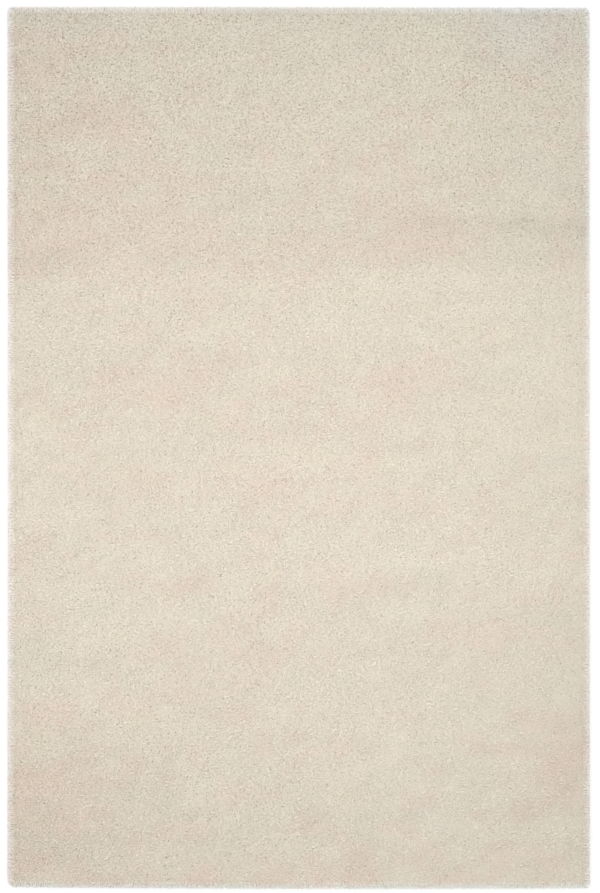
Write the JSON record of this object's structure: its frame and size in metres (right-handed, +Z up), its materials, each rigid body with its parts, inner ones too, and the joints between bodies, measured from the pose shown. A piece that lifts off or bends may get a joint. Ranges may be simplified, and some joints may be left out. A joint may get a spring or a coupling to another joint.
{
  "type": "shag rug",
  "caption": "Plain rectangular shag rug with a dense cream cut pile on a flat woven ground, lying flat on the floor.",
  "frame": {"origin": "on the floor under the middle of the rug's outline", "axes": "+X across the width, +Y along the length, +Z up from the floor through the pile"},
  "size_m": [1.6134, 2.443, 0.028],
  "materials": {
    "pile": "matte cream frieze yarn, cut pile with a soft sheen"
  },
  "bodies": {
    "root": {"shag_rug": "pile"}
  },
  "joints": []
}
